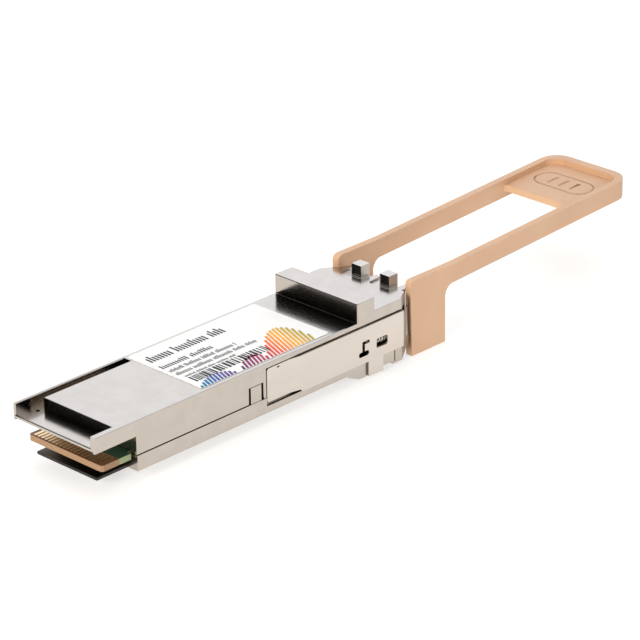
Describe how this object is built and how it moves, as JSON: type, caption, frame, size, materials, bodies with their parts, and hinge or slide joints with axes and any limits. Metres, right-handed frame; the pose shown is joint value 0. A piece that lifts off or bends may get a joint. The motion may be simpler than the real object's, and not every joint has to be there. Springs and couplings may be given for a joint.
{
  "type": "optical transceiver module",
  "caption": "Pluggable optical transceiver module: die-cast metal housing, card edge, duplex fibre ports, spring-returned release slider and plastic pull handle.",
  "frame": {"origin": "centre of the lowest plane of the bounding box", "axes": "+X from the card edge towards the pull handle, +Z out of the heat-transfer face"},
  "size_m": [0.1256, 0.0192, 0.0152],
  "materials": {
    "zinc_shell": "satin",
    "board": "satin",
    "gold_plating": "gloss",
    "chip_plastic": "matte",
    "thermal_filler": "matte",
    "nickel_plate": "satin",
    "ferrule_ceramic": "satin",
    "amber_film": "satin",
    "gasket_rubber": "matte",
    "sheet_steel": "satin",
    "spring_steel": "satin",
    "beige_plastic": "satin",
    "screw_steel": "satin",
    "label_paper": "matte"
  },
  "bodies": {
    "housing": {"top_shell": "zinc_shell", "bottom_shell": "zinc_shell", "fibre_receptacle": "zinc_shell", "circuit_board": "board", "contacts_top": "gold_plating", "contacts_bottom": "gold_plating", "retimer_chip": "chip_plastic", "microcontroller": "chip_plastic", "power_regulator": "chip_plastic", "laser_driver": "chip_plastic", "receiver_amplifier": "chip_plastic", "power_inductor_a": "chip_plastic", "power_inductor_b": "chip_plastic", "thermal_pad": "thermal_filler", "transmitter_can": "nickel_plate", "receiver_can": "nickel_plate", "transmitter_barrel": "nickel_plate", "receiver_barrel": "nickel_plate", "transmitter_fibre_stub": "ferrule_ceramic", "receiver_fibre_stub": "ferrule_ceramic", "transmitter_flex": "amber_film", "receiver_flex": "amber_film", "transmitter_gasket": "gasket_rubber", "receiver_gasket": "gasket_rubber", "spring_near": "spring_steel", "spring_far": "spring_steel", "shell_screw_1": "screw_steel", "shell_screw_2": "screw_steel", "shell_screw_3": "screw_steel", "shell_screw_4": "screw_steel", "label": "label_paper"},
    "slider": {"release_slider": "sheet_steel", "pull_handle": "beige_plastic"}
  },
  "joints": [
    {"name": "release_slide", "type": "slide", "parent": "housing", "child": "slider", "axis": [1, 0, 0], "range_m": [0, 0.0025], "stiffness_N_per_m": 900, "springref_m": -0.001, "deforming": ["spring_near", "spring_far"]}
  ]
}
